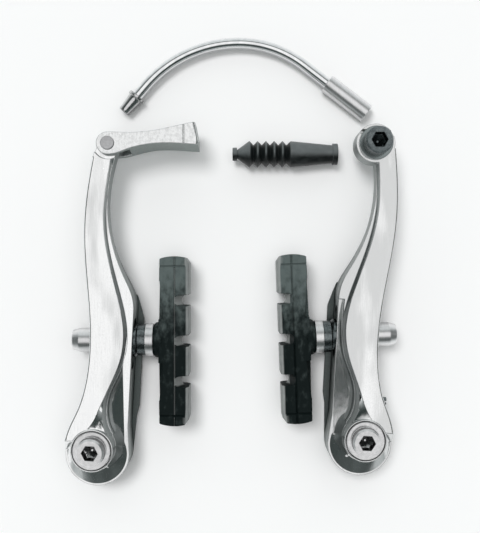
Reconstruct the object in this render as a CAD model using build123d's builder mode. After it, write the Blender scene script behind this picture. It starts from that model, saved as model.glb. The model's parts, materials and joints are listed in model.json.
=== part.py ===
from build123d import *
from math import cos, radians, sin, sqrt
import os

os.makedirs("parts", exist_ok=True)

# Layout of the set as it lies on a table, seen from the front (mm, degrees)
left_pivot = (-50.2, -69.0)
right_pivot = (47.6, -65.4)
arm_lean = -3.1
shoe_turn = {"left": 0.0, "right": 2.2}
stud_height = {"left": 39.3, "right": 36.4}
boot_start = (0.0, 38.9)
noodle_start = (-41.0, 55.1)
noodle_heading = 49.5

# Arm: levels above the table
arm_back = 0.8
flange_front = 2.3
upper_back = 9.4
shelf_low = 13.0
shelf_rise = 1.7
ridge_front = 18.0
boss_front = 18.4

# Arm: outline, measured inwards and upwards from the pivot
foot_centre = (1.2, -2.3)
foot_radius = 11.6
skirt = (-5.9, 14.7)
waist = (-2.9, 38.0)
belly = (-7.1, 78.0)
neck_out = 5.3
neck_out_slope = 0.15
neck_in = 2.3
neck_in_slope = 0.25
seat_face = 11.8
heel_height = 8.0
seat_top = 50.0
thigh = (7.4, 63.0)
shank = (1.1, 82.0)
flange_face = 14.2
flange_corner = 0.8
flange_heel = 10.0
flange_low = 14.0
flange_top = 47.0
flange_end = 57.0
crease_knee = (8.2, 29.0)
crease_hip = (10.0, 40.0)
crease_thigh = (5.2, 61.0)
crease_shank = (0.2, 84.0)
crease_neck = 1.5
facet_top = (3.6, 17.2)
facet_middle = (3.4, 12.2)
facet_boss = (6.0, 5.2)
facet_level = 3.3
facet_draft = 0.6
ridge_facet = (1.0, 15.4)
ridge_bend = (-2.1, 11.4)
ridge_boss = (-5.2, 9.0)
ridge_foot = (-7.6, 3.6)
ridge_roll = 5.0
ridge_draft = 1.2
ridge_edge = 0.6
dish_tilt = 12.0
dish_depth = 2.0
dish_end = 1.0
dish_ramp = 10.0
dish_space = 4.0
rim_flat = 0.8
ramp_start = 52.0
ramp_end = 75.0
cut_margin = 12.0

# Pivot: bush, spring and fixing bolt
boss_radius = 7.6
mound_radius = 8.1
mound_rise = 1.9
mound_root = 3.0
bush_radius = 5.5
stud_bore = 4.0
bush_flange_radius = 8.5
bush_flange = 1.3
turn_clearance = 0.05
end_clearance = 0.15
bolt_radius = 3.0
bolt_flange_radius = 6.8
bolt_flange = 1.2
bolt_head_radius = 5.0
bolt_head = 3.4
bolt_tail = 2.5
head_chamfer = 0.6
bolt_recess_gap = 0.3
bolt_recess = 1.0
hex_key = 5.0
hex_depth = 4.0
hex_point = 1.3
hex_point_taper = 59.0
spring_wire = 0.8
spring_radius = 7.3
spring_start = 50.0
spring_gap = 0.1
spring_reach = 52.0
spring_pocket_radius = 9.3
spring_pocket_gap = 0.5
sleeve_radius = 1.15
sleeve_bore = 0.85
sleeve_length = 10.0
groove_half = 1.25
groove_gap = 0.1
groove_end = 1.0

# Tension screw
screw_radius = 1.5
screw_length = 7.0
screw_height = 13.0
screw_level = 9.0
screw_edge = 6.3
screw_out = {"left": -0.3, "right": 2.0}
screw_slot = 0.6
screw_slot_depth = 0.8

# Shoe: ball washers, spacer, stud, pad and nut, along the stud
stud_level = 8.8
pocket_face = 3.3
pocket_half = 11.0
pocket_height = 38.0
pocket_roof = 15.3
slot_half = 3.2
slot_length = 19.0
dome_sphere = 8.0
ball_gap = 0.25
dome_radius = 6.0
dome_hole = 4.0
cup_radius = 5.8
cup_flat = 8.65
stud_radius = 3.0
stud_gap = 0.05
spacer_radius = 6.0
spacer = 3.0
pad_boss_radius = 6.5
pad_boss = 2.15
pad_boss_sink = 1.1
pad_boss_round = 1.4
pad_thick = 11.1
pad_long = 61.5
pad_deep = 12.4
pad_taper = 0.4
pad_flat = 8.0
pad_arch = 0.9
pad_chamfer = 1.5
notch_wide = 4.0
notch_deep = 5.5
notch_middle = 3.0
notch_pitch = 14.7
crease_from_face = 5.5
crease_size = 0.5
groove_from_end = 3.7
hollow_long = 14.0
hollow_wide = 1.6
hollow_deep = 3.0
plate_from_back = 2.2
plate_thick = 1.6
plate_long = 40.0
plate_deep = 8.0
plate_corner = 2.0
nut_radius = 4.4
nut_long = 9.5
nut_cone = 2.6
nut_end_radius = 3.6
nut_bore_deep = 5.8
nut_hex_deep = 3.1

# Cable link and its rivet, on the left arm
arm_reach = 110.0
rivet_in = -0.2
neck_drop = 5.0
tongue_radius = 3.9
tongue_back = 10.1
tongue_front = 16.5
link_back = 7.5
link_front = 19.1
link_gap = 0.3
link_eye = 4.05
link_long = 32.3
link_web_start = 7.5
link_web_bend = 15.0
link_web_rise = 0.4
link_block = 5.2
link_top = [(9.0, 3.9), (20.0, 5.2)]
link_low = [(22.7, 0.0), (14.6, -0.4), (6.4, -2.4)]
link_top_end = 7.6
link_low_end = -0.6
link_top_slope = 0.15
link_low_slope = 0.05
link_flare = 1.0
link_bevel = 1.1
link_nose = 2.0
link_round = 1.0
link_fold = 0.3
link_swing_gap = 1.5
rivet_radius = 1.9
rivet_head_radius = 2.45
rivet_head = 0.6
rivet_gap = 0.1
tip_seat_gap = 0.15
tip_seat_height = 3.9
cable_slot = 2.4

# Cable clamp, on the right arm
clamp_reach = 106.4
clamp_in = 2.0
clamp_neck_drop = 1.4
clamp_head_radius = 7.0
clamp_washer_radius = 6.0
clamp_washer = 1.5
clamp_bolt_head_radius = 4.8
clamp_bolt_head = 6.2
clamp_hex_depth = 3.6
clamp_hole_gap = 0.05
clamp_tail = 0.3
cable_radius = 0.8

# Noodle, lying on the table
noodle_level = 3.5
pipe_radius = 2.05
pipe_bore = 1.3
liner_bore = 0.95
liner_gap = 0.05
tip_long = 6.8
tip_end_radius = 2.05
tip_base_radius = 2.7
tip_socket = 3.5
tip_hole = 1.1
collar_radius = 3.2
collar = 1.2
collar_gap = 0.2
pipe_straight = 4.8
first_bend = 46.0
second_bend = 40.0
second_turn = 37.6
pipe_run = 11.2
ferrule_radius = 3.5
ferrule_long = 18.8
ferrule_socket = 6.0
ferrule_stop = 1.0
housing_bore = 2.55

# Cable boot, lying on the table along the X axis
boot_long = 39.2
boot_radius = 4.95
boot_lip_radius = 2.45
boot_lip = 1.7
boot_neck_radius = 1.6
boot_cone_end = 6.3
crest_count = 5
crest_pitch = 3.08
valley_radius = 3.35
boot_shoulder_radius = 4.85
boot_sleeve_end_radius = 3.35
boot_flange_radius = 3.95
boot_flange = 1.9
boot_mouth_bore = 2.6
boot_mouth_deep = 16.0
boot_bellows_bore = 2.3
boot_tip_bore = 0.9

sides = {"left": 1, "right": -1}
pivots = {"left": left_pivot, "right": right_pivot}
head_heights = {"left": arm_reach, "right": clamp_reach}
neck_heights = {"left": arm_reach - neck_drop, "right": clamp_reach - clamp_neck_drop}
web_centre = (seat_face + pocket_face) / 2
web_half = (seat_face - pocket_face) / 2
coil_level = bush_flange + spring_gap + spring_wire
groove_front = coil_level + sleeve_radius + groove_gap
pocket_floor = coil_level + spring_wire + spring_pocket_gap
recess_floor = boss_front - bolt_recess
ridge_level = boss_front - shelf_low
bush_front = recess_floor + end_clearance
cup_sphere = dome_sphere + ball_gap
tip_seat_radius = tip_base_radius + tip_seat_gap
link_web = tip_seat_height - collar_radius - collar_gap
spacer_end = cup_flat + spacer
pad_back = spacer_end + pad_boss
pad_face = pad_back + pad_thick
hex_radius = hex_key / 2 / cos(radians(30))


def arm_frame(side):
    """The arm's own frame: origin on the pivot at table level, Y up the arm, +X to the right."""
    lean = radians(arm_lean)
    return Plane(origin=(*pivots[side], 0), x_dir=(cos(lean), sin(lean), 0), z_dir=(0, 0, 1))


def inward(side, *points):
    """Points given inwards and upwards from the pivot, mirrored for the right arm."""
    return [(sides[side] * x, y) for x, y in points]


def along(side, points):
    """A plane whose X axis is the stud's axis, pointing inwards, with its origin in the ball centre."""
    centre = arm_frame(side).from_local_coords((sides[side] * web_centre, stud_height[side], stud_level))
    heading = radians(shoe_turn[side] if points == "shoe" else arm_lean)
    return Plane(
        origin=centre,
        x_dir=(sides[side] * cos(heading), sides[side] * sin(heading), 0),
        z_dir=(0, 0, 1),
    )


def spring_end_angle(side):
    """Angle of the spring's short end about the pivot, mirrored for the right arm."""
    return spring_start if side == "left" else 180 - spring_start


def axis_of(plane):
    return Axis(plane.origin, plane.x_dir)


def save(part, name):
    part.label = name
    export_step(part, f"parts/{name}.step")


def build_arm(side):
    frame = arm_frame(side)
    shelf = frame.offset(shelf_low).rotated((shelf_rise, 0, 0))
    side_view = Plane(origin=frame.origin, x_dir=frame.y_dir, z_dir=frame.x_dir)
    foot_x, foot_y = foot_centre
    foot_out = (foot_x - foot_radius, foot_y)
    foot_in = (foot_x + foot_radius, foot_y)
    foot_low = (foot_x, foot_y - foot_radius)
    rivet = (rivet_in, arm_reach)
    clamp = (clamp_in, clamp_reach)
    neck_height = neck_heights[side]
    far_top = head_heights[side] + cut_margin
    far_in = flange_face + cut_margin
    far_low = foot_y - foot_radius - cut_margin

    # The shelf's lower part is dished: it falls away from a flat rim towards the ridge,
    # and a ramp ends it beside the boss
    rim_line = shelf.from_local_coords((sides[side] * (seat_face - rim_flat), 0, 0))
    dish = Plane(origin=rim_line, x_dir=shelf.x_dir, z_dir=shelf.z_dir)
    dish = dish.rotated((0, -sides[side] * dish_tilt, 0))
    hip_x, _ = crease_hip
    dish_crease = [(hip_x, seat_top), crease_hip, crease_knee, facet_top, facet_middle, facet_boss]
    floor_crease = [(x - seat_face + rim_flat, y) for x, y in dish_crease]
    beside_boss, facet_low = floor_crease[-1]
    with BuildPart() as space:
        for level, end in ((0, dish_end), (dish_space, dish_end - dish_ramp)):
            with BuildSketch(dish.offset(level)):
                with BuildLine():
                    Polyline(
                        *inward(side, (beside_boss, end), (far_in, end), (far_in, seat_top),
                                (-far_in, seat_top), (-far_in, facet_low), (beside_boss, facet_low)),
                        close=True,
                    )
                make_face()
        loft(ruled=True)
    with BuildPart() as hollow:
        with BuildSketch(dish):
            with BuildLine():
                Spline(*inward(side, *floor_crease))
                Polyline(
                    *inward(side, floor_crease[-1], (-seat_face, foot_y), (cut_margin, foot_y),
                            (cut_margin, seat_top), floor_crease[0]),
                )
            make_face()
        extrude(amount=dish_depth)
        add(space.part, mode=Mode.INTERSECT)

    # Low mound from the rim of the foot to the boss, below the dish
    with BuildPart() as mound:
        with BuildSketch(shelf):
            with Locations(*inward(side, foot_centre)):
                Circle(foot_radius - rim_flat)
        extrude(amount=-mound_root)
        with BuildSketch(shelf):
            with Locations(*inward(side, foot_centre)):
                Circle(foot_radius - rim_flat)
        with BuildSketch(shelf.offset(mound_rise)):
            Circle(mound_radius)
        loft()
        add(space.part, mode=Mode.SUBTRACT)

    with BuildPart() as arm:
        # Whole outline, from the back to the front of the ridge
        with BuildSketch(frame.offset(arm_back)):
            with BuildLine():
                Spline(
                    *inward(side, (-neck_out, neck_height), belly, waist, skirt, foot_out),
                    tangents=inward(side, (-neck_out_slope, -1), (0, -1)),
                )
                ThreePointArc(*inward(side, foot_out, foot_low, foot_in))
                Polyline(*inward(side, foot_in, (seat_face, heel_height), (seat_face, seat_top)))
                Spline(
                    *inward(side, (seat_face, seat_top), thigh, shank, (neck_in, neck_height)),
                    tangents=inward(side, (0, 1), (neck_in_slope, 1)),
                )
                Line(*inward(side, (neck_in, neck_height), (-neck_out, neck_height)))
            make_face()
        extrude(amount=ridge_front - arm_back)
        outer_edges = arm.faces().sort_by(Axis.Z)[-1].edges().filter_by(GeomType.BSPLINE)
        fillet(outer_edges.sort_by(Axis(frame.origin, frame.x_dir * sides[side]))[0], radius=ridge_edge)

        # Shelf below the ridge, on the inner side and round the foot: a drafted wall, then a facet
        top = neck_height + cut_margin
        corner = -foot_radius - cut_margin
        upper_crease = [
            (crease_neck, top), (crease_neck, neck_height), crease_shank,
            crease_thigh, crease_hip, crease_knee,
        ]
        facet_edge = [facet_top, facet_middle, facet_boss]
        facet_ends = {
            0: facet_edge,
            facet_level: [(x - facet_draft, y) for x, y in facet_edge],
            ridge_level: [ridge_facet, ridge_bend, ridge_boss],
        }
        for low, high in ((0, facet_level), (facet_level, ridge_level)):
            for level in (low, high):
                share = level / ridge_level
                crease = [(x - ridge_draft * share, y) for x, y in upper_crease] + facet_ends[level]
                foot = (ridge_foot[0] * share, ridge_foot[1] * share)
                end_height = foot_y + ridge_roll * share
                with BuildSketch(shelf.offset(level)):
                    with BuildLine():
                        Spline(*inward(side, *crease))
                        Polyline(
                            *inward(side, crease[-1], foot, (corner, end_height), (corner, far_low),
                                    (far_in, far_low), (far_in, top), crease[0]),
                        )
                    make_face()
            loft(ruled=True, mode=Mode.SUBTRACT)

        add(hollow.part, mode=Mode.SUBTRACT)
        add(mound.part)

        # Flange along the back, beside the shoe
        with BuildSketch(frame.offset(arm_back)):
            with BuildLine():
                Polyline(
                    *inward(
                        side, foot_in, (flange_face - flange_corner, flange_heel), (flange_face, flange_low),
                        (flange_face, flange_top), (seat_face - flange_corner, flange_end), (0, flange_top),
                        (0, foot_y),
                    ),
                    close=True,
                )
            make_face()
        extrude(amount=flange_front - arm_back)

        # Boss over the pivot
        with BuildSketch(frame.offset(shelf_low - mound_root)):
            Circle(boss_radius)
        extrude(amount=boss_front - shelf_low + mound_root)

        # Head: a tongue for the link, or a round pad for the cable clamp
        with BuildSketch(frame.offset(arm_back)):
            if side == "left":
                with Locations(*inward(side, rivet)):
                    Circle(tongue_radius)
                with BuildLine():
                    Polyline(
                        *inward(side, (-neck_out, neck_height), (neck_in, neck_height),
                                (rivet_in + tongue_radius, arm_reach), (rivet_in - tongue_radius, arm_reach)),
                        close=True,
                    )
                make_face()
            else:
                with Locations(*inward(side, clamp)):
                    Circle(clamp_head_radius)
        extrude(amount=ridge_front - arm_back)

        # The upper arm is thin: its back slopes away above the shoe
        with BuildSketch(side_view):
            with BuildLine():
                Polyline(
                    (ramp_start, arm_back - cut_margin), (ramp_start, arm_back), (ramp_end, upper_back),
                    (far_top, upper_back), (far_top, arm_back - cut_margin),
                    close=True,
                )
            make_face()
        extrude(amount=far_in, both=True, mode=Mode.SUBTRACT)

        # Pocket for the outer washers and the nut, open to the outside and the back
        with BuildSketch(frame.offset(arm_back)):
            with BuildLine():
                Polyline(
                    *inward(
                        side, (pocket_face, pocket_height - pocket_half),
                        (pocket_face, pocket_height + pocket_half),
                        (-far_in, pocket_height + pocket_half), (-far_in, pocket_height - pocket_half),
                    ),
                    close=True,
                )
            make_face()
        extrude(amount=pocket_roof - arm_back, mode=Mode.SUBTRACT)

        # Slot for the shoe's stud
        with BuildSketch(side_view):
            with Locations((pocket_height, stud_level)):
                SlotOverall(slot_length, 2 * slot_half)
        extrude(amount=far_in, both=True, mode=Mode.SUBTRACT)

        # Pivot: bush hole, bolt recess and spring pocket
        with BuildSketch(frame):
            Circle(bush_radius + turn_clearance)
        extrude(amount=boss_front, mode=Mode.SUBTRACT)
        with BuildSketch(frame.offset(recess_floor)):
            Circle(bolt_flange_radius + bolt_recess_gap)
        extrude(amount=bolt_recess, mode=Mode.SUBTRACT)
        with BuildSketch(frame):
            Circle(spring_pocket_radius)
        extrude(amount=pocket_floor, mode=Mode.SUBTRACT)
        with BuildSketch(frame):
            with BuildLine():
                Polyline(
                    *inward(side, (spring_radius - groove_half, 0), (spring_radius + groove_half, 0),
                            (spring_radius + groove_half, spring_reach + groove_end),
                            (spring_radius - groove_half, spring_reach + groove_end)),
                    close=True,
                )
            make_face()
        extrude(amount=groove_front, mode=Mode.SUBTRACT)

        # Hole for the tension screw
        screw_end = screw_length - screw_edge - screw_out[side] + end_clearance
        with BuildSketch(side_view.offset(sides[side] * screw_end)):
            with Locations((screw_height, screw_level)):
                Circle(screw_radius + turn_clearance)
        extrude(amount=-sides[side] * far_in, mode=Mode.SUBTRACT)

        # Machined flats for the link, or the clamp's hole and cable groove
        if side == "left":
            with BuildSketch(frame.offset(tongue_front)):
                with Locations(*inward(side, rivet)):
                    Circle(link_eye + link_swing_gap)
            extrude(amount=cut_margin, mode=Mode.SUBTRACT)
            with BuildSketch(frame.offset(tongue_back)):
                with Locations(*inward(side, rivet)):
                    Circle(link_eye + link_swing_gap)
            extrude(amount=-cut_margin, mode=Mode.SUBTRACT)
            with BuildSketch(frame):
                with Locations(*inward(side, rivet)):
                    Circle(rivet_radius)
            extrude(amount=link_front, mode=Mode.SUBTRACT)
        else:
            with BuildSketch(frame):
                with Locations(*inward(side, clamp)):
                    Circle(bolt_radius + clamp_hole_gap)
            extrude(amount=link_front, mode=Mode.SUBTRACT)
            with BuildSketch(side_view):
                with Locations((clamp_reach + bolt_radius + cable_radius, ridge_front)):
                    Circle(cable_radius)
            extrude(amount=far_in, both=True, mode=Mode.SUBTRACT)
    save(arm.part, f"{side}_arm")


def build_bush(side):
    frame = arm_frame(side)
    with BuildPart() as bush:
        with BuildSketch(frame):
            Circle(bush_flange_radius)
        extrude(amount=bush_flange)
        with BuildSketch(frame):
            Circle(bush_radius)
        extrude(amount=bush_front)
        with BuildSketch(frame):
            Circle(stud_bore)
        extrude(amount=bush_front, mode=Mode.SUBTRACT)
        with BuildSketch(frame):
            with PolarLocations(spring_radius, 1, start_angle=spring_end_angle(side)):
                Circle(spring_wire + turn_clearance)
        extrude(amount=bush_flange, mode=Mode.SUBTRACT)
    save(bush.part, f"{side}_pivot_bush")


def build_fixing_bolt(side):
    frame = arm_frame(side)
    head_level = bush_front + bolt_flange
    with BuildPart() as bolt:
        with BuildSketch(frame.offset(bolt_tail)):
            Circle(bolt_radius)
        extrude(amount=bush_front - bolt_tail)
        with BuildSketch(frame.offset(bush_front)):
            Circle(bolt_flange_radius)
        extrude(amount=bolt_flange)
        with BuildSketch(frame.offset(head_level)):
            Circle(bolt_head_radius)
        extrude(amount=bolt_head)
        top = bolt.faces().sort_by(Axis.Z)[-1]
        chamfer(top.edges(), length=head_chamfer)
        with BuildSketch(frame.offset(head_level + bolt_head)):
            RegularPolygon(hex_radius, 6)
        extrude(amount=-hex_depth, mode=Mode.SUBTRACT)
        with BuildSketch(frame.offset(head_level + bolt_head - hex_depth)):
            Circle(hex_key / 2)
        extrude(amount=-hex_point, taper=hex_point_taper, mode=Mode.SUBTRACT)
    save(bolt.part, f"{side}_fixing_bolt")


def build_return_spring(side):
    frame = arm_frame(side)
    start = (spring_radius * cos(radians(spring_start)), spring_radius * sin(radians(spring_start)))
    halfway = radians((360 + spring_start) / 2)
    middle = (spring_radius * cos(halfway), spring_radius * sin(halfway))
    with BuildPart() as spring:
        # One turn round the bush, then a long leg up the back of the arm
        with BuildLine(frame.offset(coil_level)) as wire:
            ThreePointArc(*inward(side, start, middle, (spring_radius, 0)))
            Line(*inward(side, (spring_radius, 0), (spring_radius, spring_reach)))
        with BuildSketch(Plane(origin=wire.line @ 0, z_dir=wire.line % 0)):
            Circle(spring_wire)
        sweep(path=wire.line)
        # Short end, down into the flange of the bush
        with BuildSketch(frame.offset(spring_gap)):
            with Locations(*inward(side, start)):
                Circle(spring_wire)
        extrude(amount=coil_level - spring_gap)
    save(spring.part, f"{side}_return_spring")


def build_spring_sleeve(side):
    frame = arm_frame(side)
    start = frame.from_local_coords((sides[side] * spring_radius, spring_reach - sleeve_length, coil_level))
    with BuildPart() as sleeve:
        with BuildSketch(Plane(origin=start, z_dir=frame.y_dir)):
            Circle(sleeve_radius)
            Circle(sleeve_bore, mode=Mode.SUBTRACT)
        extrude(amount=sleeve_length)
    save(sleeve.part, f"{side}_spring_sleeve")


def build_tension_screw(side):
    frame = arm_frame(side)
    outward = frame.x_dir * -sides[side]
    place = (-sides[side] * (screw_edge + screw_out[side]), screw_height, screw_level)
    end = Plane(origin=frame.from_local_coords(place), x_dir=(0, 0, 1), z_dir=outward)
    with BuildPart() as screw:
        with BuildSketch(end):
            Circle(screw_radius)
        extrude(amount=-screw_length)
        with BuildSketch(end):
            Rectangle(2 * screw_radius + cut_margin, screw_slot)
        extrude(amount=-screw_slot_depth, mode=Mode.SUBTRACT)
    save(screw.part, f"{side}_tension_screw")


def build_washers(side):
    """Dome washers sit on the arm and cup washers on the shoe, with one ball centre between them."""
    for place, way in (("inner", 1), ("outer", -1)):
        seat = along(side, "arm")
        mid_radius = (dome_radius + dome_hole) / 2
        with BuildPart() as dome:
            with BuildSketch(seat):
                with BuildLine():
                    rim = (way * sqrt(dome_sphere**2 - dome_radius**2), dome_radius)
                    crown = (way * sqrt(dome_sphere**2 - mid_radius**2), mid_radius)
                    hole = (way * sqrt(dome_sphere**2 - dome_hole**2), dome_hole)
                    Polyline(hole, (way * web_half, dome_hole), (way * web_half, dome_radius), rim)
                    ThreePointArc(rim, crown, hole)
                make_face()
            revolve(axis=axis_of(seat))
        save(dome.part, f"{side}_{place}_dome_washer")

        shoe = along(side, "shoe")
        bore = stud_radius + stud_gap
        mid_radius = (cup_radius + bore) / 2
        with BuildPart() as cup:
            with BuildSketch(shoe):
                with BuildLine():
                    rim = (way * sqrt(cup_sphere**2 - cup_radius**2), cup_radius)
                    crown = (way * sqrt(cup_sphere**2 - mid_radius**2), mid_radius)
                    hole = (way * sqrt(cup_sphere**2 - bore**2), bore)
                    Polyline(hole, (way * cup_flat, bore), (way * cup_flat, cup_radius), rim)
                    ThreePointArc(rim, crown, hole)
                make_face()
            revolve(axis=axis_of(shoe))
        save(cup.part, f"{side}_{place}_cup_washer")


def build_shoe(side):
    shoe = along(side, "shoe")
    across = Plane(origin=shoe.origin, x_dir=shoe.y_dir, z_dir=shoe.x_dir)

    with BuildPart() as washer:
        with BuildSketch(across.offset(cup_flat)):
            Circle(spacer_radius)
            Circle(stud_radius + stud_gap, mode=Mode.SUBTRACT)
        extrude(amount=spacer)
    save(washer.part, f"{side}_spacer_washer")

    with BuildPart() as stud:
        with BuildSketch(across.offset(-cup_flat - nut_bore_deep)):
            Circle(stud_radius)
        extrude(amount=cup_flat + nut_bore_deep + pad_back + plate_from_back)
        with BuildSketch(across.offset(pad_back + plate_from_back)):
            RectangleRounded(plate_long, plate_deep, plate_corner)
        extrude(amount=plate_thick)
    save(stud.part, f"{side}_shoe_stud")

    half = pad_long / 2
    end_middle = pad_back + pad_thick / 2
    with BuildPart() as pad:
        with BuildSketch(shoe.offset(-pad_deep / 2)):
            with BuildLine():
                Line((pad_face, pad_arch - half), (pad_face, half - pad_arch))
                ThreePointArc(
                    (pad_face, half - pad_arch), (end_middle, half), (pad_back + pad_taper, half - pad_arch),
                )
                Polyline(
                    (pad_back + pad_taper, half - pad_arch), (pad_back, pad_flat),
                    (pad_back, -pad_flat), (pad_back + pad_taper, pad_arch - half),
                )
                ThreePointArc(
                    (pad_back + pad_taper, pad_arch - half), (end_middle, -half), (pad_face, pad_arch - half),
                )
            make_face()
        extrude(amount=pad_deep)
        face_edges = pad.faces().sort_by(axis_of(shoe))[-1].edges()
        chamfer(face_edges, length=pad_chamfer)
        # Drain notches across the braking face, shallower in the middle
        for step in (-1, 0, 1):
            for face in (-1, 1):
                for level, depth in ((0, notch_middle), (face * pad_deep / 2, notch_deep)):
                    with BuildSketch(shoe.offset(level)):
                        with Locations((pad_face, step * notch_pitch)):
                            SlotOverall(2 * depth, notch_wide)
                loft(ruled=True, mode=Mode.SUBTRACT)
        # Moulding crease along the front and back
        with BuildSketch(across.offset(pad_face - crease_from_face)):
            with Locations((0, pad_deep / 2), (0, -pad_deep / 2)):
                Rectangle(2 * pad_long, crease_size)
        extrude(amount=crease_size, mode=Mode.SUBTRACT)
        # Grooves across the front and back near both ends, and hollows in the corners beside the boss
        for level, way in ((pad_deep / 2, -1), (-pad_deep / 2, 1)):
            with BuildSketch(shoe.offset(level)):
                with Locations(*[(pad_back, end * (half - groove_from_end)) for end in (-1, 1)]):
                    Rectangle(2 * (pad_thick - pad_chamfer), crease_size)
            extrude(amount=way * crease_size, mode=Mode.SUBTRACT)
            for end in (-1, 1):
                with BuildSketch(shoe.offset(level)):
                    with BuildLine():
                        Polyline(
                            (0, end * pad_flat), (pad_back + hollow_wide, end * pad_flat),
                            (pad_back + pad_taper, end * (pad_flat + hollow_long)), close=True,
                        )
                    make_face()
                extrude(amount=way * hollow_deep, mode=Mode.SUBTRACT)
        # Boss that the spacer bears on
        with BuildSketch(across.offset(spacer_end)):
            Circle(pad_boss_radius)
        extrude(amount=pad_boss + pad_boss_sink)
        boss_edges = pad.edges().filter_by(GeomType.CIRCLE).sort_by(axis_of(shoe))
        fillet(boss_edges[0], radius=pad_boss_round)
        add(stud.part, mode=Mode.SUBTRACT)
    save(pad.part, f"{side}_brake_pad")

    with BuildPart() as nut:
        with BuildSketch(shoe):
            with BuildLine():
                Polyline(
                    (-cup_flat, 0), (-cup_flat, nut_radius), (-cup_flat - nut_long + nut_cone, nut_radius),
                    (-cup_flat - nut_long, nut_end_radius), (-cup_flat - nut_long, 0), close=True,
                )
            make_face()
        revolve(axis=axis_of(shoe))
        with BuildSketch(across.offset(-cup_flat)):
            Circle(stud_radius)
        extrude(amount=-nut_bore_deep, mode=Mode.SUBTRACT)
        with BuildSketch(across.offset(-cup_flat - nut_long)):
            RegularPolygon(hex_radius, 6)
        extrude(amount=nut_hex_deep, mode=Mode.SUBTRACT)
    save(nut.part, f"{side}_shoe_nut")


def build_link():
    rivet_place = arm_frame("left").from_local_coords((rivet_in, arm_reach, 0))
    frame = Plane(origin=rivet_place, x_dir=(1, 0, 0), z_dir=(0, 0, 1))
    block_start = link_long - link_block
    end_top = (link_long - link_bevel, link_top_end)

    with BuildPart() as link:
        for level, drop in ((link_back, link_flare), (link_front, 0)):
            end_low = (link_long, link_low_end - drop)
            low_edge = [(x, y - drop) for x, y in link_low]
            with BuildSketch(frame.offset(level)):
                with BuildLine():
                    Spline((0, link_eye), *link_top, end_top, tangents=((1, 0), (1, link_top_slope)))
                    Polyline(end_top, (link_long, link_nose), end_low)
                    Spline(end_low, *low_edge, (0, -link_eye), tangents=((-1, link_low_slope), (-1, 0)))
                    ThreePointArc((0, -link_eye), (-link_eye, 0), (0, link_eye))
                make_face()
        loft(ruled=True)
        # Rounded front edge at the end, and a fold line across the front where the end block starts
        front_edges = link.edges().group_by(Axis.Z)[-1]
        fillet(front_edges.sort_by(Axis.X)[-2:], radius=link_round)
        with BuildSketch(frame.offset(link_front)):
            with Locations((block_start, 0)):
                Rectangle(link_fold, 2 * link_long)
        extrude(amount=-link_fold, mode=Mode.SUBTRACT)
        # Channel between the cheeks, open upwards and at the eye
        with BuildSketch(frame.offset(tongue_back - link_gap)):
            with BuildLine():
                Polyline(
                    (-cut_margin, cut_margin), (block_start, cut_margin), (block_start, link_web),
                    (link_web_bend, link_web - link_web_rise), (link_web_start, 0),
                    (link_web_start, -cut_margin), (-cut_margin, -cut_margin), close=True,
                )
            make_face()
        extrude(amount=tongue_front - tongue_back + 2 * link_gap, mode=Mode.SUBTRACT)
        # Keyhole in the end block: a seat for the noodle tip, and a slot that lets the cable in
        middle = (link_front + link_back) / 2
        end_view = Plane(origin=rivet_place + Vector(0, 0, middle), x_dir=(0, 1, 0), z_dir=(1, 0, 0))
        with BuildSketch(end_view.offset(block_start)):
            with Locations((tip_seat_height, 0)):
                Circle(tip_seat_radius)
            with Locations((tip_seat_height + cut_margin / 2, 0)):
                Rectangle(cut_margin, cable_slot)
        extrude(amount=link_block, mode=Mode.SUBTRACT)
        with BuildSketch(frame):
            Circle(rivet_radius + turn_clearance)
        extrude(amount=link_front, mode=Mode.SUBTRACT)
    save(link.part, "cable_link")

    with BuildPart() as rivet:
        with BuildSketch(frame.offset(link_back - rivet_gap)):
            Circle(rivet_radius)
        extrude(amount=link_front - link_back + 2 * rivet_gap)
        for level, height in ((link_front + rivet_gap, rivet_head), (link_back - rivet_gap, -rivet_head)):
            with BuildSketch(frame.offset(level)):
                Circle(rivet_head_radius)
            extrude(amount=height)
    save(rivet.part, "link_rivet")


def build_clamp():
    place = arm_frame("right").from_local_coords((sides["right"] * clamp_in, clamp_reach, ridge_front))
    frame = Plane(origin=place, x_dir=(1, 0, 0), z_dir=(0, 0, 1))
    with BuildPart() as washer:
        with BuildSketch(frame):
            Circle(clamp_washer_radius)
            Circle(bolt_radius + clamp_hole_gap, mode=Mode.SUBTRACT)
        extrude(amount=clamp_washer)
    save(washer.part, "clamp_washer")

    with BuildPart() as bolt:
        with BuildSketch(frame.offset(clamp_washer)):
            Circle(clamp_bolt_head_radius)
        extrude(amount=clamp_bolt_head)
        top = bolt.faces().sort_by(Axis.Z)[-1]
        chamfer(top.edges(), length=head_chamfer)
        with BuildSketch(frame.offset(clamp_washer + clamp_bolt_head)):
            RegularPolygon(hex_radius, 6)
        extrude(amount=-clamp_hex_depth, mode=Mode.SUBTRACT)
        with BuildSketch(frame.offset(clamp_washer + clamp_bolt_head - clamp_hex_depth)):
            Circle(hex_key / 2)
        extrude(amount=-hex_point, taper=hex_point_taper, mode=Mode.SUBTRACT)
        with BuildSketch(frame.offset(clamp_washer)):
            Circle(bolt_radius)
        extrude(amount=upper_back + clamp_tail - ridge_front - clamp_washer)
    save(bolt.part, "clamp_bolt")


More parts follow.
